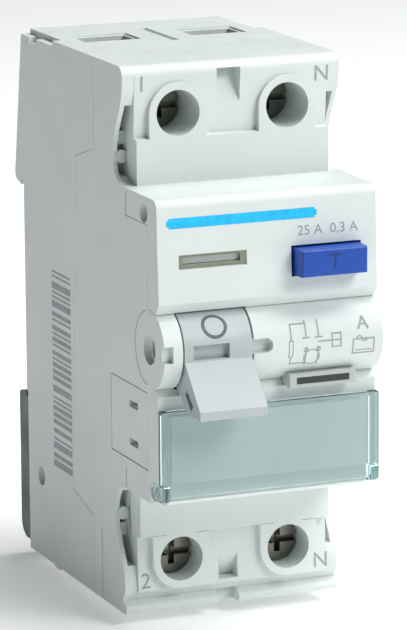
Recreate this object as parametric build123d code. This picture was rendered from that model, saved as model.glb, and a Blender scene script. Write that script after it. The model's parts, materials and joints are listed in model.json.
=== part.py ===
from build123d import *
import os
from math import cos, radians, sin

# Two-module residual current device for a 35 mm rail. Millimetres.
# X runs right as seen from the front, Y runs back to the rail, Z is up.
# The origin is the rail's centre line on the plane where the housing seats.

# ---------------------------------------------------------------- driving sizes
HALF_WIDTH = 17.5
WALL = 1.6
TOP_Z = 41.5
FOOT_Z = -42.4
NECK_Y = -44.0
NECK_HALF = 15.5
NOSE_TOP_Z = 23.7
NOSE_BOTTOM_Z = -22.4
LABEL_Y = -56.6
SEAM_GAP = 0.1
FIT = 0.05
GAP = 0.15

POLE_X = 8.8
SCREW_Z = 34.2
TUNNEL_R = 3.45
SHANK_R = 2.5
SCREW_FACE_Y = {"top": -36.0, "bottom": -39.5}

AXIS_Y, AXIS_Z = -53.5, 1.1
DRUM_R = 5.95
BULGE_R = 6.04
DRUM_X = (-14.3, -3.6)
SLOT_X = (-14.6, -3.3)
SHAFT_R = 1.5
CRANK_R = 4.0
CRANK_ANGLE = 39.0
LINK_LENGTH = 12.0
PIN_R = 0.8
CRANK_Y = AXIS_Y + CRANK_R * cos(radians(CRANK_ANGLE))
CRANK_Z = AXIS_Z + CRANK_R * sin(radians(CRANK_ANGLE))

HINGE_Y, HINGE_Z = -54.8, -20.4
FLAP_IN_Y, FLAP_OUT_Y = -57.05, -58.15

PANEL_SLOT_Z = (-8.75, -14.65)
BUTTON_X, BUTTON_Z = 9.35, 13.2
TIE_HOLE_Y, TIE_HOLE_Z, TIE_HOLE_TILT = -60.9, -5.35, -49

BRIDGE_Y = -36.0
TIP_R = 1.3
BAR_Y = (-18.5, -17.3)
CORE_Y, CORE_Z = -15.0, -12.5
RELAY_X, RELAY_Z = 7.5, 15.0
PLUNGER_X, PLUNGER_Z = 4.0, 17.0
LATCH_PIN = (-38.0, 16.0)
TRIP_PIN = (-31.5, 11.5)
SPRING_WIRE_R = 0.25

RAIL_EDGE_Z = 17.5
POLES = {"line": -1, "neutral": 1}
ENDS = {"top": 1, "bottom": -1}


# ---------------------------------------------------------------- small helpers
def block(x, y, z):
    """A box from its three (low, high) ranges."""
    size = [abs(r[1] - r[0]) for r in (x, y, z)]
    middle = [(r[0] + r[1]) / 2 for r in (x, y, z)]
    return Pos(*middle) * Box(*size)


def side_prism(curves, x):
    """A closed outline in (y, z), drawn out from x[0] to x[1]."""
    face = Plane.YZ.offset(x[0]) * make_face(curves)
    return extrude(face, amount=x[1] - x[0])


def polygon_prism(points, x):
    return side_prism(Polyline(*points, close=True), x)


def rod_x(radius, x, y, z):
    middle = (x[0] + x[1]) / 2
    return Pos(middle, y, z) * Rot(0, 90, 0) * Cylinder(radius, x[1] - x[0])


def rod_y(radius, y, x, z):
    middle = (y[0] + y[1]) / 2
    return Pos(x, middle, z) * Rot(90, 0, 0) * Cylinder(radius, y[1] - y[0])


def rod_z(radius, z, x, y):
    middle = (z[0] + z[1]) / 2
    return Pos(x, y, middle) * Cylinder(radius, z[1] - z[0])


def coil(radius, wire, pitch, height):
    """A helical spring that stands on the XY plane."""
    path = Helix(pitch, height, radius)
    section = Plane(path @ 0, z_dir=path % 0) * Circle(wire)
    return sweep(section, path=path, is_frenet=True)


def save(shape, name):
    export_step(shape, f"parts/{name}.step")


# ---------------------------------------------------------------- housing shapes
def pocket_edge(sign):
    """The side wall's front edge beside the terminals: it dips back in a long S."""
    if sign > 0:
        front = (-43.4, 39.6)
        low = (-39.3, 27.4)
        neck = (-42.8, NOSE_TOP_Z)
    else:
        front = (-42.6, -38.6)
        low = (-38.6, -26.8)
        neck = (-42.4, NOSE_BOTTOM_Z)
    dip = Spline(front, low, tangents=[(0, -sign), (0, -sign)])
    turn = ThreePointArc(low, (low[0] - 0.9, low[1] - 2.5 * sign), neck)
    return front, dip, turn, neck


def body_profile():
    top_front, top_dip, top_turn, top_neck = pocket_edge(1)
    low_front, low_dip, low_turn, low_neck = pocket_edge(-1)
    outline = Line((0, -17), (0, TOP_Z))
    outline += Line((0, TOP_Z), (-41.9, TOP_Z))
    outline += ThreePointArc((-41.9, TOP_Z), (-43.0, TOP_Z - 0.5), top_front)
    outline += top_dip + top_turn
    outline += Line(top_neck, low_neck)
    outline += low_turn + low_dip
    outline += Line(low_front, (-41.6, -40.4))
    outline += Line((-41.6, -40.4), (-42.8, -41.0))
    outline += ThreePointArc((-42.8, -41.0), (-43.1, -41.7), (-42.4, FOOT_Z))
    outline += Line((-42.4, FOOT_Z), (-0.5, FOOT_Z))
    outline += Line((-0.5, FOOT_Z), (-0.5, -17))
    outline += Line((-0.5, -17), (0, -17))
    return side_prism(outline, (-HALF_WIDTH, HALF_WIDTH))


def nose_profile():
    bulge_top = (-55.98, 6.57)
    crease = (-55.52, -4.58)
    nose_back = -40.0
    outline = Line((nose_back, NOSE_TOP_Z), (-55.3, NOSE_TOP_Z))
    outline += ThreePointArc((-55.3, NOSE_TOP_Z), (-56.3, 23.25), (-56.7, 22.3))
    outline += Line((-56.7, 22.3), (-57.3, 8.3))
    outline += Line((-57.3, 8.3), bulge_top)
    outline += ThreePointArc(bulge_top, (AXIS_Y - BULGE_R, AXIS_Z), crease)
    outline += Line(crease, (LABEL_Y, -5.6))
    outline += Line((LABEL_Y, -5.6), (LABEL_Y, HINGE_Z + 0.872))
    outline += ThreePointArc(
        (LABEL_Y, HINGE_Z + 0.872), (-56.214, -21.814), (HINGE_Y, NOSE_BOTTOM_Z)
    )
    outline += Line((HINGE_Y, NOSE_BOTTOM_Z), (nose_back, NOSE_BOTTOM_Z))
    outline += Line((nose_back, NOSE_BOTTOM_Z), (nose_back, NOSE_TOP_Z))
    return side_prism(outline, (-HALF_WIDTH, HALF_WIDTH))


def neck_and_faces():
    """The neck bands and the sloping terminal faces between the side walls."""
    band = (-NECK_HALF, NECK_HALF)
    top = [(-40, 22), (NECK_Y, 22), (NECK_Y, 30.5), (-42.7, 30.7), (-43.5, 40.0), (-40, 41)]
    low = [(-40, -21), (NECK_Y, -21), (NECK_Y, -30.2), (-42.6, -30.4), (-43.0, -39.0), (-40, -40)]
    return polygon_prism(top, band) + polygon_prism(low, band)


def terminal_boss(x, sign):
    """A raised U round a screw hole, open towards the neck band."""
    ring_r = TUNNEL_R + 1.15
    reach = (30.3, SCREW_Z)
    z = reach if sign > 0 else (-reach[1], -reach[0])
    ring = rod_y(ring_r, (-43.9, -40), x, sign * SCREW_Z)
    return ring + block((x - ring_r, x + ring_r), (-43.9, -40), z)


def rail_ears():
    """Thin plates beyond the side walls that hook behind the rail's upper edge."""
    outline = Line((-0.5, TOP_Z - 0.8), (0.2, TOP_Z - 0.8))
    outline += Line((0.2, TOP_Z - 0.8), (3.8, 18.8))
    outline += ThreePointArc((3.8, 18.8), (3.75, 17.7), (3.2, 17.2))
    outline += Line((3.2, 17.2), (1.25, 16.6))
    outline += Line((1.25, 16.6), (1.15, RAIL_EDGE_Z + 0.15))
    outline += Line((1.15, RAIL_EDGE_Z + 0.15), (-0.5, RAIL_EDGE_Z + 0.15))
    outline += Line((-0.5, RAIL_EDGE_Z + 0.15), (-0.5, TOP_Z - 0.8))
    left = side_prism(outline, (-HALF_WIDTH, -HALF_WIDTH + 1.5))
    return left + side_prism(outline, (HALF_WIDTH - 1.5, HALF_WIDTH))


def side_pocket(side, sign):
    """The narrow recess between a side wall and a terminal face, with its pin."""
    x = sorted((side * NECK_HALF, side * (HALF_WIDTH - 0.7)))
    z = (24.6, 35.6) if sign > 0 else (-35.0, -23.6)
    floor = -37.4 if sign > 0 else -36.6
    return block(x, (-46, floor), z)


def pocket_pin(side, sign):
    floor = -37.4 if sign > 0 else -36.6
    z = sign * 27.5
    pin = rod_y(1.0, (floor - 2.2, floor + 1), side * (NECK_HALF + 0.7), z)
    edge = sorted((side * (NECK_HALF - 0.5), side * (HALF_WIDTH - 0.7)))
    ramp_z = sorted((sign * 29.2, sign * 31.2))
    return pin + block(edge, (floor - 1.2, floor + 1), ramp_z)


def terminal_cuts(pole, end):
    x, z = pole * POLE_X, end * SCREW_Z
    face = SCREW_FACE_Y["top" if end > 0 else "bottom"]
    tunnel = rod_y(TUNNEL_R, (-46, face + 3.4), x, z)
    tunnel += rod_y(SHANK_R + GAP, (-46, -20), x, z)
    lips = (TOP_Z - 3, TOP_Z + 2) if end > 0 else (FOOT_Z - 2, FOOT_Z + 4)
    entry = block((x - 4.1, x + 4.1), (-17.1, -11.3), lips)
    entry += block((x - 4.6, x + 4.6), (-17.6, -10.8), (end * 41.2, end * 44))
    return tunnel + entry


def chambers():
    """The hollows: one for the mechanism, one for each terminal, one in the nose."""
    inner = HALF_WIDTH - WALL
    space = block((-inner, inner), (-42.2, -2.6), (-18.5, 22.0))
    space += block((-inner, inner), (-42.2, -6.0), (-22.0, -18.4))
    space += block((-inner, inner), (-55.0, -42.0), (8.2, 22.0))
    space += rod_x(4.5, (SLOT_X[1] + 1.0, inner), AXIS_Y, AXIS_Z)
    space += block((SLOT_X[1] + 1.0, inner), (AXIS_Y + 0.2, -42.0), (-3.2, 8.4))
    space += block((-inner, inner), (-54.9, -42.0), (-18.0, -5.6))
    space += block((3.0, 12.9), (-54.0, -42.0), (-12, 3))
    space += block((SLOT_X[0], inner), (-47.6, -42.0), (-6.0, 9.0))
    for pole in POLES.values():
        for end in ENDS.values():
            space += terminal_chamber(pole, end)
    return space


def terminal_chamber(pole, end):
    x = sorted((pole * 1.2, pole * (HALF_WIDTH - WALL)))
    z = sorted((end * 25.0, end * 39.9))
    room = block(x, (-31.0, -6.0), z)
    front_x = sorted((pole * 3.4, pole * 14.1))
    front_z = sorted((end * 27.0, end * 39.4))
    front = block(front_x, (-40.4, -30.9), front_z)
    front -= rod_y(TUNNEL_R + 1.1, (-41, -30.8), pole * POLE_X, end * SCREW_Z)
    slot_x = sorted((pole * (POLE_X - 3.3), pole * (POLE_X + 3.3)))
    bar_slot = block(slot_x, (-18.65, -17.15), sorted((end * 21.5, end * 25.5)))
    return room + front + bar_slot


def toggle_slot():
    slot = rod_x(DRUM_R + 0.35, SLOT_X, AXIS_Y, AXIS_Z)
    slot += block(SLOT_X, (-61, AXIS_Y - 3.4), (-4.6, 7.4))
    return slot + block(SLOT_X, (AXIS_Y + 2, -46), (-6.0, 7.4))


def centre_slots():
    """The deep ramped slots between the poles, at the top and the bottom edge."""
    top = polygon_prism([(-46, 40.4), (-40.2, 40.4), (-43.3, 34.8), (-46, 34.8)], (-2.4, 1.4))
    low = polygon_prism([(-46, -38.4), (-40.4, -38.4), (-43.2, -33.9), (-46, -33.9)], (-2.4, 0.8))
    foot_gap = block((-2.4, 1.0), (-46, -40.4), (FOOT_Z - 1, -40.2))
    rib_top = block((-0.4, 0.7), (-21, -7), (TOP_Z - 0.9, TOP_Z + 1))
    return top + low + foot_gap + rib_top


def side_details():
    """Small round holes, the shaft's countersunk hole and the notches in the sides."""
    cuts = None
    for side in (-1, 1):
        skin = sorted((side * (HALF_WIDTH - 1.1), side * (HALF_WIDTH + 1)))
        holes = rod_x(1.5, skin, -51.6, 21.2) + rod_x(1.5, skin, -6.2, -29.3)
        ledge_x = sorted((side * (HALF_WIDTH - 1.5), side * (HALF_WIDTH + 1)))
        holes += block(ledge_x, (-14, 6), (TOP_Z - 0.8, TOP_Z + 1))
        holes += block(ledge_x, (-6.6, -3.6), (39.8, TOP_Z + 1))
        cuts = holes if cuts is None else cuts + holes
    cuts += rod_x(SHAFT_R + FIT, (-HALF_WIDTH - 1, 1), AXIS_Y, AXIS_Z)
    cuts += rod_x(2.35, (-HALF_WIDTH - 1, -HALF_WIDTH + 1.0), AXIS_Y, AXIS_Z)
    cuts += block((-HALF_WIDTH - 1, -16.1), (-61, -58.4), (0.0, 2.5))
    cuts += block((SLOT_X[1] - 1, -1.4), (-61, -58.1), (0.3, 2.5))
    return cuts + rod_y(1.1, (-61, -58.1), -1.4, 1.4)


def panel_outline(clearance):
    """The corners of the small side panel, grown by a clearance."""
    y = (-52.3 - clearance, -37.6 + clearance)
    z = (-17.5 - clearance, -5.8 + clearance)
    return y, z


def hinge_notches():
    """Room for the flap's ears at both lower corners of the nose, and its pin holes."""
    notches = None
    for side in (-1, 1):
        x = sorted((side * 15.85, side * (HALF_WIDTH + 1)))
        cut = rod_x(1.6, x, HINGE_Y, HINGE_Z)
        cut += block(x, (-60, HINGE_Y), (-24, HINGE_Z + 1.6))
        cut += block(x, (HINGE_Y - 0.1, HINGE_Y + 1.6), (-24, HINGE_Z))
        pin_x = sorted((side * 14.4, side * 16.5))
        cut += rod_x(PIN_R + FIT, pin_x, HINGE_Y, HINGE_Z)
        notches = cut if notches is None else notches + cut
    return notches


def window_openings():
    upper = block((-13.8, -4.1), (-60, -54), (13.9, 15.1))
    bezel = block((-14.2, -3.4), (-60, -56.8), (13.3, 15.5))
    lower = block((2.5, 13.4), (-60, -53.0), (-5.6, -3.4))
    button = block((3.7, 14.95), (-60, -54), (10.9, 15.5))
    return upper + bezel + lower + button


def seat_relief():
    """Shallow steps that end the seat clear of the ears' lips and of the clip's jaw."""
    wide = (-HALF_WIDTH - 1, HALF_WIDTH + 1)
    under_lips = block(wide, (-0.15, 0.5), (16.4, RAIL_EDGE_Z + 0.15))
    return under_lips + block(wide, (-0.5, 0.5), (-17.1, -16.6))


def clip_pocket():
    return block((-6.3, 6.3), (-4.2, 1), (-40.3, -22.7))


def housing():
    """The whole housing, before it is parted into its shells."""
    solid = body_profile() + nose_profile() + neck_and_faces() + rail_ears()
    for pole in POLES.values():
        for end in ENDS.values():
            solid += terminal_boss(pole * POLE_X, end)
    for side in (-1, 1):
        for end in ENDS.values():
            solid -= side_pocket(side, end)
            solid += pocket_pin(side, end)
    solid -= chambers()
    solid += button_shelf()
    for pole in POLES.values():
        for end in ENDS.values():
            solid -= terminal_cuts(pole, end)
    solid -= toggle_slot()
    solid -= centre_slots()
    solid -= side_details()
    solid -= hinge_notches()
    solid -= window_openings()
    solid -= clip_pocket()
    solid -= seat_relief()
    y, z = panel_outline(0.12)
    solid -= block((-HALF_WIDTH - 1, -HALF_WIDTH + 1.2), y, z)
    return solid


def button_shelf():
    """The wall inside the nose that the test button's spring works against."""
    shelf = block((4.5, 16.0), (-48.5, -47.3), (10.0, 17.0))
    return shelf - rod_y(SHAFT_R + GAP, (-49, -47), BUTTON_X, BUTTON_Z)


def rear_region(shift):
    """Everything behind the seam between the two housing halves."""
    points = [
        (-31.4 + shift, 50),
        (-31.4 + shift, 27.5),
        (-23.4 + shift, 25.2 + shift),
        (-20.7 + shift, -27.9 - shift),
        (-29.5 + shift, -30.2 - shift),
        (-29.5 + shift, -50),
        (20, -50),
        (20, 50),
    ]
    return polygon_prism(points, (-30, 30))


def plate_region(shift):
    """The part of the nose that belongs to the separate front plate."""
    points = [
        (-44.4 - shift, 30),
        (-44.4 - shift, 19.5 + shift),
        (-52.9 - shift, 19.5 + shift),
        (-52.9 - shift, 7.0 + shift),
        (-55.9 - shift, 6.6 + shift),
        (-70, 6.6 + shift),
        (-70, 30),
    ]
    return polygon_prism(points, (-30, 30))


def main_solid(shape):
    """The largest solid of a shape that was cut, without loose crumbs."""
    return max(shape.solids(), key=lambda s: s.volume)


def make_housing():
    whole = housing()
    save(main_solid(whole & rear_region(0)), "rear_base")
    front = whole - rear_region(-SEAM_GAP)
    save(main_solid(front - plate_region(0)), "front_cover")
    save(main_solid(front & plate_region(SEAM_GAP)), "front_plate")
    y, z = panel_outline(0)
    panel = block((-HALF_WIDTH, -HALF_WIDTH + 1.1), y, z)
    for hole_z in PANEL_SLOT_Z:
        panel -= block((-18, -16), (-48.4, -45.0), (hole_z - 0.5, hole_z + 0.5))
    save(panel, "side_panel")


# ---------------------------------------------------------------- front pieces
def make_front_pieces():
    lens = block((-14.4, -3.0), (-54.95, -54.5), (13.2, 15.8))
    lens += block((-13.7, -4.2), (-56.2, -54.9), (14.0, 15.0))
    save(lens, "indicator_lens")
    box_lens = block((2.55, 13.35), (-59.0, -54.3), (-5.55, -3.45))
    box_lens -= block((3.1, 12.6), (-58.2, -54), (-5.2, -4.0))
    save(box_lens, "contact_lens")
    save(block((-14.4, -3.4), (-54.3, -53.7), (12.6, 17.2)), "indicator_flag")
    save(make_flap(), "label_flap")
    save(block((-15.7, 15.7), (-56.85, LABEL_Y), (-18.8, -8.6)), "label_card")


def make_flap():
    x = (-HALF_WIDTH + 0.05, HALF_WIDTH - 0.05)
    flap = block(x, (FLAP_OUT_Y, FLAP_IN_Y), (-20.6, -7.6))
    flap += block(x, (FLAP_IN_Y - 0.1, LABEL_Y - 0.08), (-8.3, -7.6))
    for side in (-1, 1):
        rim_x = sorted((side * 16.2, side * (HALF_WIDTH - 0.05)))
        flap += block(rim_x, (FLAP_IN_Y - 0.1, LABEL_Y - 0.08), (-18.9, -7.6))
    flap += rod_x(0.6, x, FLAP_OUT_Y + 0.6, -20.6)
    for side in (-1, 1):
        ear_x = sorted((side * 16.0, side * (HALF_WIDTH - 0.05)))
        flap += rod_x(1.3, ear_x, HINGE_Y, HINGE_Z)
        flap += block(ear_x, (FLAP_IN_Y - 0.2, HINGE_Y), (HINGE_Z - 1.0, HINGE_Z + 1.3))
        flap += rod_x(PIN_R, sorted((side * 14.7, side * 16.4)), HINGE_Y, HINGE_Z)
    return flap


def make_test_button():
    button = block((4.05, 14.6), (-60.4, -54.2), (11.2, 15.2))
    button = fillet(button.edges().group_by(Axis.Y)[0], 0.35)
    button += block((3.3, 15.35), (-54.85, -53.6), (10.5, 15.9))
    button += rod_y(SHAFT_R, (-53.7, -47.75), BUTTON_X, BUTTON_Z)
    save(button, "test_button")
    turn = Pos(BUTTON_X, -53.3, BUTTON_Z) * Rot(-90, 0, 0)
    save(turn * coil(2.2, SPRING_WIRE_R, 0.9, 2.4), "test_button_spring")
    strip = block((7.0, 12.0), (-45.4, -45.05), (9.8, 16.6))
    save(strip + block((7.0, 12.0), (-45.4, -44.5), (16.3, 16.65)), "test_contact_strip")
    save(rod_x(1.2, (4.0, 11.0), -50.5, 19.6) + rod_x(0.35, (1.5, 13.5), -50.5, 19.6), "test_resistor")


# ---------------------------------------------------------------- toggle and link
def paddle():
    outline = [
        (AXIS_Y, AXIS_Z + 3),
        (-59.35, 0.6),
        (-59.4, -0.1),
        (-65.2, -6.3),
        (-65.3, -7.6),
        (-60.7, -7.4),
        (-56.2, -4.55),
        (AXIS_Y, AXIS_Z - 4),
    ]
    return polygon_prism(outline, DRUM_X)


def make_toggle():
    lever = rod_x(DRUM_R, DRUM_X, AXIS_Y, AXIS_Z) + paddle()
    lever -= rod_x(SHAFT_R + FIT, (-20, 0), AXIS_Y, AXIS_Z)
    lever -= block((-10.2, -7.8), (AXIS_Y + 1.75, -40), (-10, 10))
    lever -= rod_x(PIN_R + 0.02, (-11.2, -6.8), CRANK_Y, CRANK_Z)
    lever -= block((-12.9, -7.2), (-61, AXIS_Y - 4.8), (0.1, 2.3))
    tie_hole = Pos(DRUM_X[0], TIE_HOLE_Y, TIE_HOLE_Z) * Rot(TIE_HOLE_TILT, 0, 0) * Box(6.0, 1.1, 3.2)
    save(lever - tie_hole, "toggle_lever")
    shaft = rod_x(SHAFT_R, (-16.2, 1.8), AXIS_Y, AXIS_Z)
    save(shaft - block((-17, -13), (AXIS_Y - 0.8, AXIS_Y + 0.8), (0.3, 1.9)), "toggle_shaft")
    spring = Pos(-1.9, AXIS_Y, AXIS_Z) * Rot(0, 90, 0) * coil(2.0, SPRING_WIRE_R, 0.7, 2.8)
    save(spring, "toggle_spring")
    save(rod_x(PIN_R, (-11.0, -7.0), CRANK_Y, CRANK_Z), "crank_pin")
    foot_z = CRANK_Z - LINK_LENGTH
    link = block((-9.9, -8.1), (CRANK_Y - 1, CRANK_Y + 1), (foot_z, CRANK_Z))
    link += rod_x(1.2, (-9.9, -8.1), CRANK_Y, CRANK_Z)
    link += rod_x(1.2, (-9.9, -8.1), CRANK_Y, foot_z)
    link -= rod_x(PIN_R + FIT, (-11, -7), CRANK_Y, CRANK_Z)
    save(link + rod_x(PIN_R, (-11.8, -6.2), CRANK_Y, foot_z), "toggle_link")


def make_carrier():
    """The slider that the link drives, with an arm and a guide pin over each pole."""
    carrier = block((-13.8, 13.8), (-46.5, -43.6), (-9.0, 4.0))
    pin_z = CRANK_Z - LINK_LENGTH
    for cheek in ((-12.2, -10.4), (-7.6, -5.8)):
        carrier += block(cheek, (-52.3, -46.4), (pin_z - 1.8, pin_z + 1.8))
    carrier -= block((-13, -5), (CRANK_Y - 1.0, CRANK_Y + 1.9), (pin_z - 1.0, pin_z + 1.0))
    carrier -= block((-10.4, -7.6), (-53, -48.0), (pin_z - 3, pin_z + 3))
    for pole in POLES.values():
        x = pole * POLE_X
        carrier += block((x - 3, x + 3), (-46.5, -43.6), (3.9, 7.5))
        carrier += block((x - 3, x + 3), (-46.5, -33.0), (6.0, 7.5))
        carrier += rod_z(PIN_R, (0.4, 6.1), x, BRIDGE_Y)
        carrier += rod_z(1.4, (0.3, 1.28), x, BRIDGE_Y)
    save(carrier, "contact_carrier")
    flag = block((3.4, 12.4), (-53.6, -53.1), (-6.2, 1.6))
    flag += block((6.8, 9.0), (-53.2, -46.5), (-2.4, -1.0))
    save(flag, "contact_flag")


# ---------------------------------------------------------------- contacts
def make_contacts():
    moving, fixed, springs = None, None, None
    for name, pole in POLES.items():
        x = pole * POLE_X
        bar = block((x - 1.8, x + 1.8), (-41.6, -30.4), (1.3, 2.1))
        save(bar - rod_z(PIN_R + 0.1, (1, 3), x, BRIDGE_Y), f"{name}_bridge")
        tips = tip_pair(x, (0.6, 1.3))
        moving = tips if moving is None else moving + tips
        low = tip_pair(x, (-5.2, -4.5))
        fixed = low if fixed is None else fixed + low
        spring = Pos(x, BRIDGE_Y, 2.45) * coil(1.5, SPRING_WIRE_R, 1.0, 3.2)
        springs = spring if springs is None else springs + spring
        save(entry_bar(x), f"{name}_in_bar")
        save(load_contact(x, pole), f"{name}_load_contact")
        save(primary_wire(x, pole), f"{name}_wire")
        out_bar = block((x - 2.8, x + 2.8), BAR_Y, (-39.4, -19.3))
        save(out_bar, f"{name}_out_bar")
        save(arc_plates(pole), f"{name}_arc_plates")
    save(moving, "moving_tips")
    save(fixed, "fixed_tips")
    save(springs, "bridge_springs")


def tip_pair(x, z):
    """The two round tips at the ends of a bridge, or those they land on."""
    front = rod_z(TIP_R, z, x, BRIDGE_Y - 4)
    return front + rod_z(TIP_R, z, x, BRIDGE_Y + 4)


def entry_bar(x):
    bar = block((x - 2.8, x + 2.8), BAR_Y, (19.5, 39.4))
    bar += block((x - 2.0, x + 2.0), BAR_Y, (-6.2, 20))
    return bar + block((x - 2.0, x + 2.0), (-33.5, -17.3), (-6.2, -5.2))


def load_contact(x, pole):
    plate = block((x - 2.0, x + 2.0), (-41.5, -36.5), (-6.2, -5.2))
    tab_x = sorted((pole * 1.2, x))
    return plate + block(tab_x, (-38.5, -36.5), (-6.2, -5.2))


def primary_wire(x, pole):
    near = pole * 2.4
    route = [
        (near, -36.5, -5.7),
        (near, -15.0, -5.7),
        (near, -14.6, -19.9),
        (x, -13.5, -20.5),
        (x, -17.3, -20.5),
    ]
    path = FilletPolyline(*route, radius=1.5)
    section = Plane(path @ 0, z_dir=path % 0) * Circle(0.95)
    return sweep(section, path=path)


def arc_plates(pole):
    count, pitch, thick = 5, 1.7, 0.8
    x = sorted((pole * 5.3, pole * 15.85))
    plates = None
    for i in range(count):
        z = -3.4 + i * pitch
        plate = block(x, (-29.9, -21.0), (z, z + thick))
        notch_x = (pole * POLE_X - 1.0, pole * POLE_X + 1.0)
        plate -= block(notch_x, (-31, -26.0), (z - 1, z + 2))
        plates = plate if plates is None else plates + plate
    return plates


# ---------------------------------------------------------------- sensing and trip
def ring(inner, outer, z):
    return rod_z(outer, z, 0, CORE_Y) - rod_z(inner, (z[0] - 1, z[1] + 1), 0, CORE_Y)


def make_sensing():
    case = ring(5.5, 11.0, (CORE_Z - 4.5, CORE_Z + 4.5))
    hollow = ring(6.45, 10.05, (CORE_Z - 3.05, CORE_Z + 3.05))
    save(case - hollow, "core_case")
    save(ring(6.5, 10.0, (CORE_Z - 3, CORE_Z + 3)), "sensing_core")
    wrap = ring(4.75, 11.75, (CORE_Z - 5.25, CORE_Z + 5.25))
    wrap -= ring(5.5, 11.0, (CORE_Z - 4.5, CORE_Z + 4.5))
    wrap &= block((-20, 20), (CORE_Y + 3.6, CORE_Y + 20), (-30, 0))
    save(wrap, "sensing_winding")


def relay_rod(radius, y):
    return rod_y(radius, y, RELAY_X, RELAY_Z)


def make_relay():
    """The trip relay: its magnet holds the armature until the coil frees it."""
    case = block((0.6, 14.6), (-44.4, -33.2), (9.6, 21.4))
    case -= block((1.4, 13.8), (-43.6, -34.0), (10.4, 20.6))
    case -= rod_y(0.75, (-35, -32), PLUNGER_X, PLUNGER_Z)
    save(case, "relay_case")
    yoke = block((2.0, 13.0), (-43.5, -42.5), (12.0, 18.0))
    yoke += block((2.0, 3.0), (-43.5, -37.2), (12.0, 18.0))
    yoke += block((12.0, 13.0), (-43.5, -37.2), (12.0, 18.0))
    save(yoke + relay_rod(1.2, (-42.6, -37.3)), "relay_yoke")
    bobbin = relay_rod(3.4, (-42.4, -41.9)) + relay_rod(3.4, (-38.3, -37.8))
    bobbin += relay_rod(1.7, (-42.0, -38.0))
    save(bobbin - relay_rod(1.25, (-43, -37)), "relay_bobbin")
    coil_body = relay_rod(3.2, (-41.85, -38.35)) - relay_rod(1.75, (-43, -37))
    save(coil_body, "relay_coil")
    save(block((5.0, 10.0), (-42.4, -38.0), (18.7, 20.5)), "relay_magnet")
    save(block((2.0, 13.0), (-36.9, -36.1), (12.0, 18.0)), "relay_armature")
    save(rod_y(0.7, (-36.1, -32.35), PLUNGER_X, PLUNGER_Z), "relay_plunger")


def make_latch():
    frame = block((-13.5, -2.7), (-44.0, -27.6), (9.2, 19.6))
    frame -= block((-12.7, -3.5), (-45, -28.4), (8, 21))
    frame -= block((-4, -2), (-33.6, -28.6), (15.3, 21))
    pins = (LATCH_PIN, TRIP_PIN)
    for y, z in pins:
        frame -= rod_x(PIN_R + 0.02, (-14, -2), y, z)
    save(frame, "mechanism_frame")
    rods = [rod_x(PIN_R, (-13.7, -2.5), y, z) for y, z in pins]
    save(rods[0] + rods[1], "lever_pins")
    latch = rod_x(1.7, (-10.0, -7.2), *LATCH_PIN)
    latch += block((-10.0, -7.2), (-38.0, -33.4), (16.2, 17.4))
    latch += block((-10.0, -7.2), (-43.6, -38.0), (14.8, 16.0))
    save(latch - rod_x(PIN_R + FIT, (-14, -2), *LATCH_PIN), "latch_lever")
    trip = rod_x(1.7, (-6.8, -4.5), *TRIP_PIN)
    trip += block((-6.8, -4.5), (-32.2, -30.8), (12.5, 17.7))
    trip += block((-6.8, 8.0), (-32.2, -30.8), (16.3, 17.7))
    save(trip - rod_x(PIN_R + FIT, (-14, -2), *TRIP_PIN), "trip_lever")


# ---------------------------------------------------------------- terminals
def clamp_screw(face_y):
    head = rod_y(3.25, (face_y, face_y + 3.2), 0, 0)
    head -= block((-3.5, 3.5), (face_y - 1, face_y + 1.4), (-0.5, 0.5))
    head -= block((-0.5, 0.5), (face_y - 1, face_y + 1.8), (-1.9, 1.9))
    return head + rod_y(SHANK_R, (face_y + 3.1, -18.6), 0, 0)


def clamp_cage():
    cage = block((-5.1, 5.1), (-20.9, -9.9), (-4.2, 4.2))
    cage -= block((-4.3, 4.3), (-19.1, -11.0), (-5, 5))
    return cage - rod_y(SHANK_R + FIT, (-22, -18), 0, 0)


def make_terminals():
    for pole_name, pole in POLES.items():
        for end_name, end in ENDS.items():
            place = Pos(pole * POLE_X, 0, end * SCREW_Z)
            label = f"{pole_name}_{end_name}"
            save(place * clamp_screw(SCREW_FACE_Y[end_name]), f"{label}_screw")
            save(place * clamp_cage(), f"{label}_cage")


# ---------------------------------------------------------------- rail clip
def make_clip():
    outline = Line((-0.3, -17.75), (1.1, -17.75))
    outline += Line((1.1, -17.75), (1.2, -16.9))
    outline += Line((1.2, -16.9), (3.6, -17.3))
    outline += ThreePointArc((3.6, -17.3), (4.2, -17.7), (4.3, -18.4))
    outline += Line((4.3, -18.4), (4.3, -38.5))
    outline += ThreePointArc((4.3, -38.5), (3.6, -40.4), (1.8, -41.3))
    outline += Line((1.8, -41.3), (-0.3, -41.3))
    outline += Line((-0.3, -41.3), (-0.3, -17.75))
    clip = side_prism(outline, (-17.2, 17.2))
    clip += block((-6.1, 6.1), (-3.7, -0.2), (-31.0, -23.0))
    save(clip, "din_clip")
    bar = rod_x(5.4, (-15.8, 15.8), -8.5, -38.8)
    bar &= block((-20, 20), (-20, 10), (-46, FOOT_Z - 0.2))
    bar += block((-5, 5), (-8, 1.8), (-43.4, FOOT_Z - 0.2))
    bar += block((-5, 5), (0.1, 1.8), (-43.0, -41.3))
    save(bar, "clip_pull_bar")
    save(Pos(0, -2.1, -40.05) * coil(1.4, SPRING_WIRE_R, 1.5, 8.7), "clip_spring")


os.makedirs("parts", exist_ok=True)
make_housing()
make_front_pieces()
make_test_button()
make_toggle()
make_carrier()
make_contacts()
make_sensing()
make_relay()
make_latch()
make_terminals()
make_clip()
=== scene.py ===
import json
import math
import random

import bmesh
import bpy
from mathutils import Matrix, Vector


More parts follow.
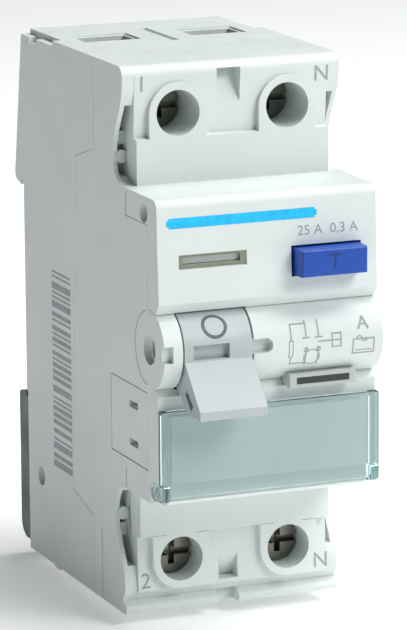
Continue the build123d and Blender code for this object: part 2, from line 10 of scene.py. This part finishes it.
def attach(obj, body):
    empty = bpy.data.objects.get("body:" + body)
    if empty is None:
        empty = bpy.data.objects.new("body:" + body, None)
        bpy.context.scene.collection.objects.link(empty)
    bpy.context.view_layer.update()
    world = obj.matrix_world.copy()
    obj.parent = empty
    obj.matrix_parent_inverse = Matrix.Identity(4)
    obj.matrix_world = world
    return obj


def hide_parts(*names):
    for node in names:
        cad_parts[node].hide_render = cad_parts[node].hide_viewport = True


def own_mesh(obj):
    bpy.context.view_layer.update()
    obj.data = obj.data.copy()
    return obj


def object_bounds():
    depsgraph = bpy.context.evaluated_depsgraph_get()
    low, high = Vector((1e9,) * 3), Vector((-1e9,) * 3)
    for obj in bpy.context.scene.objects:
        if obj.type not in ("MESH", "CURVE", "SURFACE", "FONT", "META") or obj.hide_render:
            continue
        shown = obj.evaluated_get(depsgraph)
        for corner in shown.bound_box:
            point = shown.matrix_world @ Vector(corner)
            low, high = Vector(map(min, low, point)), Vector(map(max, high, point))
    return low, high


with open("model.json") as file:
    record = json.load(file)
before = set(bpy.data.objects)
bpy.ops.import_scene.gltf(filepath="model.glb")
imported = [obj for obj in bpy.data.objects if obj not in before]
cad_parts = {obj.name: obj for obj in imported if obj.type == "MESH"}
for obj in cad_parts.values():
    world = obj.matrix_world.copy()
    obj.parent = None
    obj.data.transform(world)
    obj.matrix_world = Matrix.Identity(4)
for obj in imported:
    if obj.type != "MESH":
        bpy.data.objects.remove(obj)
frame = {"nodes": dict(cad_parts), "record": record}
cad_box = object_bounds()
NODES = frame["nodes"]
MM = 0.001

# Geometry shared with the CAD model, in millimetres
AXIS_Y, AXIS_Z = -53.5, 1.1
BULGE_R, DRUM_R = 6.04, 5.95
PLATE_TOP = (-56.7, 22.3)
PLATE_LOW = (-57.3, 8.3)
SIDE_X = 17.5
CLIP_SPRING_Y, CLIP_SPRING_FOOT, CLIP_SPRING_SEAT = -2.1, -40.1, -31.0
UPPER_BEZEL_Y, LENS_FRONT_Y, BUTTON_FRONT_Y = -56.8, -59.0, -60.4

# Prints are thin solids that start just under the surface and end just above it
PRINT_SINK, PRINT_LIFT = -0.01, 0.03
PRINT_LINE = 0.2
SIDE_LINE = 0.14
MARK_SIZE = 3.4

CAMERA_PLACE = (-233.46, -601.86, 133.82)
CAMERA_AZIMUTH, CAMERA_DOWN, CAMERA_ROLL = 22.27, 12.22, -0.39
CAMERA_LENS, CAMERA_SENSOR = 235.0, 36.0
LAMP_TINT = (1, 0.99, 0.97)
LOOK_AT = (0, -0.03, 0)


# ------------------------------------------------------------------ materials
def new_material(name):
    mat = bpy.data.materials.new(name)
    mat.use_nodes = True
    nodes = mat.node_tree.nodes
    return mat, nodes, mat.node_tree.links, nodes["Principled BSDF"]


def noise(nodes, links, scale, detail=2.0):
    coord = nodes.new("ShaderNodeTexCoord")
    tex = nodes.new("ShaderNodeTexNoise")
    tex.inputs["Scale"].default_value = scale
    tex.inputs["Detail"].default_value = detail
    links.new(coord.outputs["Object"], tex.inputs["Vector"])
    return tex


def vary_colour(nodes, links, shader, colour, scale, spread):
    """Colour that drifts a little, as moulded plastic and rolled metal do."""
    tex = noise(nodes, links, scale)
    ramp = nodes.new("ShaderNodeValToRGB")
    low = [c * (1 - spread) for c in colour[:3]] + [1]
    high = [min(1, c * (1 + spread)) for c in colour[:3]] + [1]
    ramp.color_ramp.elements[0].position = 0.3
    ramp.color_ramp.elements[0].color = low
    ramp.color_ramp.elements[1].position = 0.7
    ramp.color_ramp.elements[1].color = high
    links.new(tex.outputs["Fac"], ramp.inputs["Fac"])
    links.new(ramp.outputs["Color"], shader.inputs["Base Color"])


def vary_roughness(nodes, links, shader, low, high, scale):
    tex = noise(nodes, links, scale, 3)
    span = nodes.new("ShaderNodeMapRange")
    span.inputs["From Min"].default_value = 0.3
    span.inputs["From Max"].default_value = 0.7
    span.inputs["To Min"].default_value = low
    span.inputs["To Max"].default_value = high
    links.new(tex.outputs["Fac"], span.inputs["Value"])
    links.new(span.outputs["Result"], shader.inputs["Roughness"])


def add_bump(nodes, links, shader, scale, height, strength=1.0):
    tex = noise(nodes, links, scale, 4)
    bump = nodes.new("ShaderNodeBump")
    bump.inputs["Distance"].default_value = height
    bump.inputs["Strength"].default_value = strength
    links.new(tex.outputs["Fac"], bump.inputs["Height"])
    links.new(bump.outputs["Normal"], shader.inputs["Normal"])


def plastic(name, colour, rough=(0.42, 0.55), grain=2600, depth=0.000012, spread=0.025):
    """Moulded plastic: a fine spark-eroded grain with a soft sheen."""
    mat, nodes, links, shader = new_material(name)
    vary_colour(nodes, links, shader, colour, 55, spread)
    vary_roughness(nodes, links, shader, rough[0], rough[1], 240)
    add_bump(nodes, links, shader, grain, depth)
    shader.inputs["Specular IOR Level"].default_value = 0.45
    return mat


def metal(name, colour, rough=(0.25, 0.4), grain=900, depth=0.00001, spread=0.08):
    mat, nodes, links, shader = new_material(name)
    vary_colour(nodes, links, shader, colour, 350, spread)
    vary_roughness(nodes, links, shader, rough[0], rough[1], 600)
    add_bump(nodes, links, shader, grain, depth)
    shader.inputs["Metallic"].default_value = 1.0
    return mat


def clear(name, colour, rough=0.03):
    """Clear moulded plastic, slightly wavy from the mould."""
    mat, nodes, links, shader = new_material(name)
    shader.inputs["Base Color"].default_value = (*colour, 1)
    shader.inputs["Transmission Weight"].default_value = 1.0
    shader.inputs["IOR"].default_value = 1.46
    shader.inputs["Roughness"].default_value = rough
    add_bump(nodes, links, shader, 130, 0.00003, 0.35)
    return mat


def frosted(name, colour):
    """Clear plastic with cloudy walls."""
    mat = clear(name, colour, 0.12)
    mat.node_tree.nodes["Principled BSDF"].inputs["Transmission Weight"].default_value = 0.45
    return mat


def tinted_clear(name, colour, tint, density):
    """Clear plastic whose tint deepens with the length of the light's way through it."""
    mat = clear(name, colour, 0.02)
    nodes, links = mat.node_tree.nodes, mat.node_tree.links
    depth = nodes.new("ShaderNodeVolumeAbsorption")
    depth.inputs["Color"].default_value = (*tint, 1)
    depth.inputs["Density"].default_value = density
    links.new(depth.outputs["Volume"], nodes["Material Output"].inputs["Volume"])
    return mat


def ink(name, colour):
    """Printed ink: flat, slightly uneven where it lies on grained plastic."""
    mat, nodes, links, shader = new_material(name)
    vary_colour(nodes, links, shader, colour, 900, 0.12)
    vary_roughness(nodes, links, shader, 0.5, 0.65, 700)
    add_bump(nodes, links, shader, 2600, 0.000008)
    return mat


def light_table():
    """A lit white sweep, so the ground stays near white round the object."""
    mat = plastic("floor_paper", (0.93, 0.94, 0.94), (0.8, 0.9), 200, 0.00002, 0.01)
    shader = mat.node_tree.nodes["Principled BSDF"]
    shader.inputs["Emission Color"].default_value = (1, 1, 1, 1)
    shader.inputs["Emission Strength"].default_value = 0.26
    return mat


MATS = {
    "housing": plastic("housing_plastic", (0.66, 0.715, 0.705)),
    "toggle_plastic": plastic("toggle_plastic", (0.43, 0.48, 0.49), (0.36, 0.48)),
    "blue_button": plastic(
        "blue_button_plastic", (0.0, 0.055, 0.36), (0.34, 0.46), 2200, 0.00001, 0.08
    ),
    "dark_clip": plastic(
        "dark_clip_plastic", (0.075, 0.095, 0.095), (0.42, 0.6), 1800, 0.00002, 0.2
    ),
    "natural_plastic": plastic("natural_plastic", (0.72, 0.71, 0.64), (0.4, 0.5)),
    "black_plastic": plastic(
        "black_plastic", (0.03, 0.03, 0.033), (0.4, 0.5), 2000, 0.000015, 0.2
    ),
    "olive_flag": plastic(
        "olive_flag_plastic", (0.055, 0.06, 0.015), (0.4, 0.5), 2000, 0.00001, 0.15
    ),
    "dark_flag": plastic(
        "dark_flag_plastic", (0.03, 0.035, 0.035), (0.4, 0.5), 2000, 0.00001, 0.15
    ),
    "card": plastic("label_card_paper", (0.74, 0.79, 0.79), (0.75, 0.9), 1500, 0.00002, 0.02),
    "clear_lens": frosted("clear_lens_plastic", (0.74, 0.80, 0.78)),
    "clear_flap": tinted_clear(
        "clear_flap_plastic", (0.955, 0.99, 0.985), (0.12, 0.76, 0.80), 95
    ),
    # Zinc-plated steel, coloured much darker than real zinc: partly the metal's own grey,
    # partly painted shade for the dark terminal tunnels round the screws.
    "zinc_steel": metal("zinc_steel_darkened_for_tunnel_shade", (0.17, 0.17, 0.145), (0.28, 0.42), 500, 0.00002),
    "steel": metal("bright_steel", (0.55, 0.56, 0.57)),
    "spring_steel": metal("spring_wire", (0.45, 0.46, 0.47), (0.2, 0.3)),
    "copper": metal("copper_strip", (0.78, 0.40, 0.24)),
    "silver": metal("contact_silver", (0.85, 0.85, 0.82)),
    "core_metal": metal("core_strip", (0.42, 0.41, 0.38)),
    "winding": metal("enamelled_copper", (0.50, 0.18, 0.06), (0.2, 0.35), 1800, 0.00003, 0.2),
    "magnet": plastic("ferrite", (0.06, 0.06, 0.06), (0.5, 0.7), 900, 0.00003, 0.25),
    "resistor_body": plastic("resistor_lacquer", (0.50, 0.40, 0.24), (0.25, 0.4)),
    "wire_line": plastic("brown_insulation", (0.17, 0.075, 0.03), (0.35, 0.45)),
    "wire_neutral": plastic("blue_insulation", (0.02, 0.09, 0.34), (0.35, 0.45)),
}
INK_DARK = ink("ink_dark_grey", (0.09, 0.11, 0.12))
INK_RIM = ink("window_rim_grey", (0.20, 0.22, 0.16))
INK_LIGHT = ink("ink_light_grey", (0.30, 0.34, 0.36))
INK_CYAN = ink("ink_cyan_blue", (0.0, 0.48, 0.86))
SHADOW_BLUE = ink("button_letter_shade", (0.004, 0.03, 0.16))


# ------------------------------------------------------------------ CAD nodes
def soften(node, width):
    """Rounds the moulded edges of a CAD node and shades it smoothly."""
    obj = NODES[node]
    bpy.context.view_layer.objects.active = obj
    if obj.data.has_custom_normals:
        bpy.ops.mesh.customdata_custom_splitnormals_clear()
    for face in obj.data.polygons:
        face.use_smooth = True
    weld = obj.modifiers.new("weld", "WELD")
    weld.merge_threshold = 1e-6
    bevel = obj.modifiers.new("edge_radius", "BEVEL")
    bevel.width = width * MM
    bevel.segments = 2
    bevel.limit_method = "ANGLE"
    bevel.angle_limit = math.radians(38)
    bevel.harden_normals = True
    bevel.use_clamp_overlap = True
    bevel.miter_outer = "MITER_ARC"


# Edge radii in millimetres; every other node gets the small one
SMALL_EDGE = 0.08
EDGE_WIDTHS = {
    "rear_base": 0.16,
    "front_cover": 0.16,
    "front_plate": 0.2,
    "side_panel": 0.12,
    "toggle_lever": 0.3,
    "test_button": 0.16,
    "label_flap": 0.14,
    "contact_lens": 0.14,
    "din_clip": 0.35,
    "clip_pull_bar": 0.3,
    "label_card": 0.02,
}


def dress_cad_nodes():
    for row in frame["record"]["subparts"]:
        node = row["node"]
        obj = NODES[node]
        obj.data.materials.clear()
        obj.data.materials.append(MATS[row["material_slot"]])
        soften(node, EDGE_WIDTHS.get(node, SMALL_EDGE))


# ------------------------------------------------------------------ mesh helpers
def finish_piece(obj, body, material):
    obj.data.materials.append(material)
    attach(obj, body)


def mesh_object(name, bm):
    bmesh.ops.recalc_face_normals(bm, faces=bm.faces)
    mesh = bpy.data.meshes.new(name)
    bm.to_mesh(mesh)
    bm.free()
    obj = bpy.data.objects.new(name, mesh)
    bpy.context.scene.collection.objects.link(obj)
    return obj


def add_patch(bm, place, corners, steps=(1, 1), thick=PRINT_LIFT):
    """A thin printed patch: (u, v) corners, laid on a surface by place(u, v, lift)."""
    (u0, v0), (u1, v1) = corners
    nu, nv = steps
    layers = []
    for lift in (PRINT_SINK, thick):
        grid = []
        for i in range(nu + 1):
            u = u0 + (u1 - u0) * i / nu
            heights = [v0 + (v1 - v0) * j / nv for j in range(nv + 1)]
            grid.append([bm.verts.new(place(u, v, lift)) for v in heights])
        layers.append(grid)
    low, high = layers
    for i in range(nu):
        for j in range(nv):
            bm.faces.new((high[i][j], high[i + 1][j], high[i + 1][j + 1], high[i][j + 1]))
            bm.faces.new((low[i][j], low[i][j + 1], low[i + 1][j + 1], low[i + 1][j]))
    edge = [(i, 0) for i in range(nu)] + [(nu, j) for j in range(nv)]
    edge += [(nu - i, nv) for i in range(nu)] + [(0, nv - j) for j in range(nv)]
    for k, (i, j) in enumerate(edge):
        a, b = edge[(k + 1) % len(edge)]
        bm.faces.new((low[i][j], low[a][b], high[a][b], high[i][j]))


def add_stroke(bm, place, start, end, width):
    """A printed line from start to end, either along u or along v."""
    half = width / 2
    u0, u1 = sorted((start[0], end[0]))
    v0, v1 = sorted((start[1], end[1]))
    if u1 - u0 >= v1 - v0:
        corners = ((u0 - half, v0 - half), (u1 + half, v0 + half))
    else:
        corners = ((u0 - half, v0 - half), (u0 + half, v1 + half))
    rows = max(1, round((corners[1][1] - corners[0][1]) / 0.6))
    add_patch(bm, place, corners, (1, rows))


def add_ring(bm, place, centre, radius, width, steps=40, sweep=(0, 360)):
    """A printed ring or arc on a surface."""
    full = sweep[1] - sweep[0] == 360
    count = steps if full else steps + 1
    rims = []
    for lift in (PRINT_SINK, PRINT_LIFT):
        for r in (radius - width / 2, radius + width / 2):
            rim = []
            for i in range(count):
                a = math.radians(sweep[0] + (sweep[1] - sweep[0]) * i / steps)
                u, v = centre[0] + r * math.cos(a), centre[1] + r * math.sin(a)
                rim.append(bm.verts.new(place(u, v, lift)))
            rims.append(rim)
    low_in, low_out, high_in, high_out = rims
    for i in range(steps):
        j = (i + 1) % count
        bm.faces.new((high_in[i], high_out[i], high_out[j], high_in[j]))
        bm.faces.new((low_in[i], low_in[j], low_out[j], low_out[i]))
        bm.faces.new((low_out[i], low_out[j], high_out[j], high_out[i]))
        bm.faces.new((low_in[i], high_in[i], high_in[j], low_in[j]))
    if not full:
        for i in (0, steps):
            bm.faces.new((low_in[i], low_out[i], high_out[i], high_in[i]))


# Surfaces that marks lie on. Each maps (u, v) in millimetres and a lift to a point.
def on_plate(u, v, lift):
    share = (PLATE_TOP[1] - v) / (PLATE_TOP[1] - PLATE_LOW[1])
    y = PLATE_TOP[0] + (PLATE_LOW[0] - PLATE_TOP[0]) * share
    return Vector((u, y - lift, v)) * MM


def on_cylinder(radius):
    def place(u, v, lift):
        """v is the height above the toggle's axis, measured round the surface."""
        angle = v / radius
        r = radius + lift
        y = AXIS_Y - r * math.cos(angle)
        return Vector((u, y, AXIS_Z + r * math.sin(angle))) * MM

    return place


def on_upright(front_y):
    def place(u, v, lift):
        return Vector((u, front_y - lift, v)) * MM

    return place


on_bulge = on_cylinder(BULGE_R)
on_drum = on_cylinder(DRUM_R)


def on_left_side(u, v, lift):
    """u is y and v is z on the left side wall."""
    return Vector((-SIDE_X - lift, u, v)) * MM


def on_right_side(u, v, lift):
    return Vector((SIDE_X + lift, u, v)) * MM


def arc_height(z):
    """Height round the bulge of a point at height z."""
    return BULGE_R * math.asin((z - AXIS_Z) / BULGE_R)


# ------------------------------------------------------------------ printed marks
def make_stripe():
    bm = bmesh.new()
    add_patch(bm, on_plate, ((-16.0, 19.45), (7.9, 21.0)))
    thickness = (PRINT_LIFT - PRINT_SINK) * MM
    ends = [e for e in bm.edges if abs(e.calc_length() - thickness) < 1e-6]
    bmesh.ops.bevel(bm, geom=ends, offset=0.35 * MM, segments=5, affect="EDGES")
    finish_piece(mesh_object("stripe_print", bm), "root", INK_CYAN)


def make_window_frame():
    """The grey rim inside the upper window's recess and the strip in the lower window."""
    bm = bmesh.new()
    rim = on_upright(UPPER_BEZEL_Y)
    outer, inner = (-14.1, 13.4, -3.5, 15.4), (-13.5, 13.95, -4.4, 15.05)
    add_patch(bm, rim, ((outer[0], outer[1]), (outer[2], inner[1])))
    add_patch(bm, rim, ((outer[0], inner[3]), (outer[2], outer[3])))
    add_patch(bm, rim, ((outer[0], inner[1]), (inner[0], inner[3])))
    add_patch(bm, rim, ((inner[2], inner[1]), (outer[2], inner[3])))
    finish_piece(mesh_object("window_rim", bm), "root", INK_RIM)
    bm = bmesh.new()
    add_patch(bm, on_upright(LENS_FRONT_Y), ((3.7, -5.05), (12.2, -4.05)))
    strip = mesh_object("lower_window_strip", bm)
    finish_piece(strip, "root", MATS["dark_flag"])


def make_toggle_ring():
    bm = bmesh.new()
    centre = (-9.15, DRUM_R * math.radians(38.5))
    add_ring(bm, on_drum, centre, 1.75, 0.5, 56)
    finish_piece(mesh_object("off_ring_print", bm), "toggle", INK_DARK)


def make_wiring_diagram():
    """A generic two-pole wiring diagram, printed round the fixed bulge."""
    bm = bmesh.new()
    thin, fine = PRINT_LINE, PRINT_LINE * 0.8
    left, right = 2.6, 10.6
    top, low = arc_height(4.4), arc_height(-2.2)
    mid = (top + low) / 2
    for x in (5.0, 7.0):
        add_stroke(bm, on_bulge, (x, mid + 0.9), (x, top), thin)
        add_stroke(bm, on_bulge, (x, low), (x, mid - 0.6), thin)
        add_stroke(bm, on_bulge, (x - 0.5, mid + 0.9), (x + 0.5, mid + 0.9), thin)
        add_ring(bm, on_bulge, (x, mid - 0.9), 0.32, fine, 18)
    for v in (top - 0.4, low + 0.4):
        add_stroke(bm, on_bulge, (left, v), (5.0, v), thin)
    add_stroke(bm, on_bulge, (left, low + 0.4), (left, low + 1.6), thin)
    add_stroke(bm, on_bulge, (left, mid + 0.6), (left, top - 0.4), thin)
    box_low, box_top = low + 1.6, mid + 0.6
    for x in (left - 0.3, left + 0.3):
        add_stroke(bm, on_bulge, (x, box_low), (x, box_top), fine)
    for v in (box_low, box_top):
        add_stroke(bm, on_bulge, (left - 0.3, v), (left + 0.3, v), fine)
    add_stroke(bm, on_bulge, (7.0, mid + 0.2), (right, mid + 0.2), thin)
    for x in (9.2, right):
        add_stroke(bm, on_bulge, (x, mid - 0.8), (x, mid + 1.2), thin)
    for v in (mid - 0.8, mid + 1.2):
        add_stroke(bm, on_bulge, (9.2, v), (right, v), thin)
    add_ring(bm, on_bulge, (6.0, low + 1.3), 1.25, fine, 30)
    finish_piece(mesh_object("wiring_diagram_print", bm), "root", INK_LIGHT)


def make_waveform_box():
    """A small box with one wave and a line, at the right of the diagram."""
    bm = bmesh.new()
    z0, z1 = arc_height(-1.1), arc_height(1.1)
    left, right = 12.6, 16.0
    for x in (left, right):
        add_stroke(bm, on_bulge, (x, z0), (x, z1), PRINT_LINE)
    for v in (z0, z1):
        add_stroke(bm, on_bulge, (left, v), (right, v), PRINT_LINE)
    add_ring(bm, on_bulge, (13.6, 0.05), 0.42, 0.18, 14, (0, 180))
    add_ring(bm, on_bulge, (14.44, 0.05), 0.42, 0.18, 14, (180, 360))
    add_stroke(bm, on_bulge, (13.1, z0 + 0.5), (15.5, z0 + 0.5), 0.16)
    finish_piece(mesh_object("waveform_print", bm), "root", INK_LIGHT)


def make_side_bars():
    """A plain block of bars on the left side, with no code in it."""
    rng = random.Random(4)
    bm = bmesh.new()
    top, foot, front, back = 5.4, -26.4, -20.4, -12.2
    z = top
    while z > foot:
        thick = rng.choice((0.35, 0.35, 0.7, 1.05))
        add_patch(bm, on_left_side, ((front, z - thick), (back, z)), (1, 1), 0.02)
        z -= thick + rng.choice((0.4, 0.4, 0.75))
    finish_piece(mesh_object("side_bars_print", bm), "root", INK_LIGHT)


def make_text(name, words, size, centre, turn, body, material, slot, depth=0.05):
    """Thin solid figures, turned from the XY plane and set at centre."""
    curve = bpy.data.curves.new(name, "FONT")
    curve.body = words
    curve.size = size * MM
    curve.align_x = "CENTER"
    curve.align_y = "CENTER"
    curve.extrude = depth * MM / 2
    curve.resolution_u = 6
    obj = bpy.data.objects.new(name, curve)
    bpy.context.scene.collection.objects.link(obj)
    obj.matrix_world = Matrix.Translation(Vector(centre) * MM) @ turn
    bpy.context.view_layer.update()
    shaped = obj.evaluated_get(bpy.context.evaluated_depsgraph_get())
    mesh = bpy.data.meshes.new_from_object(shaped)
    solid = bpy.data.objects.new(name, mesh)
    solid.matrix_world = obj.matrix_world
    bpy.data.objects.remove(obj)
    bpy.context.scene.collection.objects.link(solid)
    solid.data.materials.clear()
    finish_piece(solid, body, material)


def make_figures():
    """Pole marks on the sloping terminal faces, the test letter and the rating."""
    top_tilt, low_tilt = math.radians(90 + 4.9), math.radians(90 - 2.7)
    marks = {
        "terminal_1": ("1", -14.4, 38.7, -43.40, top_tilt),
        "terminal_n_top": ("N", 14.6, 38.5, -43.38, top_tilt),
        "terminal_2": ("2", -14.3, -37.5, -42.94, low_tilt),
        "terminal_n_low": ("N", 14.6, -37.3, -42.93, low_tilt),
    }
    for name, (words, x, z, y, tilt) in marks.items():
        turn = Matrix.Rotation(tilt, 4, "X")
        mark = (name + "_print", words, MARK_SIZE, (x, y, z), turn)
        make_text(*mark, "root", INK_LIGHT, "dark_clip")
    face = Matrix.Rotation(math.radians(90), 4, "X")
    letter = ("test_letter", "T", MARK_SIZE, (9.3, BUTTON_FRONT_Y, 13.2), face)
    make_text(*letter, "test_button", SHADOW_BLUE, "blue_button")
    lean = Matrix.Rotation(math.radians(90 - 2.45), 4, "X")
    rating = ("rating_print", "25 A  0,3 A", 2.1, (9.6, -56.9, 17.6), lean)
    make_text(*rating, "root", INK_LIGHT, "dark_clip")
    round_up = Matrix.Rotation(math.radians(90 - 22.4), 4, "X")
    kind = ("type_print", "A", 2.8, (14.3, -59.1, 3.4), round_up)
    make_text(*kind, "root", INK_LIGHT, "dark_clip")


# ------------------------------------------------------------------ clip spring
def make_clip_spring():
    """The helix behind the rail clip, built at one fixed length in place of the hidden CAD
    spring.
    """
    radius, wire, turns, per_turn, sides = 1.4, 0.24, 5.8, 28, 12
    foot, seat = CLIP_SPRING_FOOT + 0.3, CLIP_SPRING_SEAT - 0.3
    count = round(turns * per_turn)
    bm = bmesh.new()
    loops = []
    for i in range(count + 1):
        a = 2 * math.pi * turns * i / count
        out = Vector((math.cos(a), math.sin(a), 0))
        centre = out * radius + Vector((0, CLIP_SPRING_Y, foot + (seat - foot) * i / count))
        loop = []
        for k in range(sides):
            b = 2 * math.pi * k / sides
            point = centre + (out * math.cos(b) + Vector((0, 0, math.sin(b)))) * wire
            loop.append(bm.verts.new(point * MM))
        loops.append(loop)
    for one, two in zip(loops, loops[1:]):
        for k in range(sides):
            m = (k + 1) % sides
            bm.faces.new((one[k], one[m], two[m], two[k]))
    bm.faces.new(loops[0])
    bm.faces.new(loops[-1])
    coil = mesh_object("clip_spring_coil", bm)
    finish_piece(coil, "root", MATS["spring_steel"])
    for face in coil.data.polygons:
        face.use_smooth = True
    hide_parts("clip_spring")
    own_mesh(coil)


# ------------------------------------------------------------------ moulding lines, drawn as painted groove shade
def make_side_lines():
    """Fine parting lines of the moulded side walls, drawn as darker strips: painted shade
    standing in for the shade inside the real grooves.
    """
    bm = bmesh.new()
    for place in (on_left_side, on_right_side):
        add_stroke(bm, place, (-44.4, 19.5), (-44.4, 23.0), SIDE_LINE)
        add_ring(bm, place, (AXIS_Y, AXIS_Z), 5.75, SIDE_LINE, 22, (-78, 78))
        add_stroke(bm, place, (-43.6, -22.1), (-43.6, -19.0), SIDE_LINE)
        add_stroke(bm, place, (-33.0, -42.0), (-33.0, -31.2), SIDE_LINE)
    # The grey ink here is painted shade for the grooves, not a print.
    finish_piece(mesh_object("side_groove_shade_lines", bm), "root", INK_LIGHT)


# ------------------------------------------------------------------ camera and light
def make_camera():
    """A long lens from the front left, a little above."""
    azimuth, down = math.radians(CAMERA_AZIMUTH), math.radians(CAMERA_DOWN)
    roll = math.radians(CAMERA_ROLL)
    flat = math.cos(down)
    ahead = Vector((math.sin(azimuth) * flat, math.cos(azimuth) * flat, -math.sin(down)))
    level = Vector((math.cos(azimuth), -math.sin(azimuth), 0))
    right = level * math.cos(roll) + level.cross(ahead) * math.sin(roll)
    up = right.cross(ahead)
    data = bpy.data.cameras.new("camera")
    data.lens = CAMERA_LENS
    data.sensor_width = CAMERA_SENSOR
    data.clip_start, data.clip_end = 0.01, 20
    camera = bpy.data.objects.new("camera", data)
    bpy.context.scene.collection.objects.link(camera)
    turn = Matrix((right, up, -ahead)).transposed().to_4x4()
    camera.matrix_world = Matrix.Translation(Vector(CAMERA_PLACE) * MM) @ turn
    bpy.context.scene.camera = camera


def area_light(name, place, target, size, power):
    data = bpy.data.lights.new(name, "AREA")
    data.shape = "RECTANGLE"
    data.size, data.size_y = size
    data.energy = power
    data.color = LAMP_TINT
    light = bpy.data.objects.new(name, data)
    bpy.context.scene.collection.objects.link(light)
    light.location = place
    aim = Vector(target) - Vector(place)
    light.rotation_euler = aim.to_track_quat("-Z", "Y").to_euler()


def make_studio():
    bm = bmesh.new()
    reach, cells, clearance = 3.0, 12, 0.0002
    floor_z = cad_box[0].z - clearance
    grid = bmesh.ops.create_grid(bm, x_segments=cells, y_segments=cells, size=reach)
    bmesh.ops.translate(bm, verts=grid["verts"], vec=(0, 0, floor_z))
    floor = mesh_object("floor", bm)
    floor.data.materials.append(light_table())
    world = bpy.data.worlds.new("studio")
    bpy.context.scene.world = world
    world.use_nodes = True
    sky = world.node_tree.nodes["Background"]
    sky.inputs["Color"].default_value = (0.86, 0.95, 1.0, 1)
    sky.inputs["Strength"].default_value = 0.12
    area_light("top_soft", (0.42, -0.12, 0.85), LOOK_AT, (0.7, 0.9), 10.5)
    area_light("key_right", (0.42, -0.75, 0.62), (0, -0.04, 0), (0.4, 0.4), 5.2)
    bpy.context.scene.view_settings.view_transform = "Standard"


make_camera()
make_studio()
dress_cad_nodes()
make_stripe()
make_window_frame()
make_toggle_ring()
make_wiring_diagram()
make_waveform_box()
make_side_bars()
make_figures()
make_side_lines()
make_clip_spring()
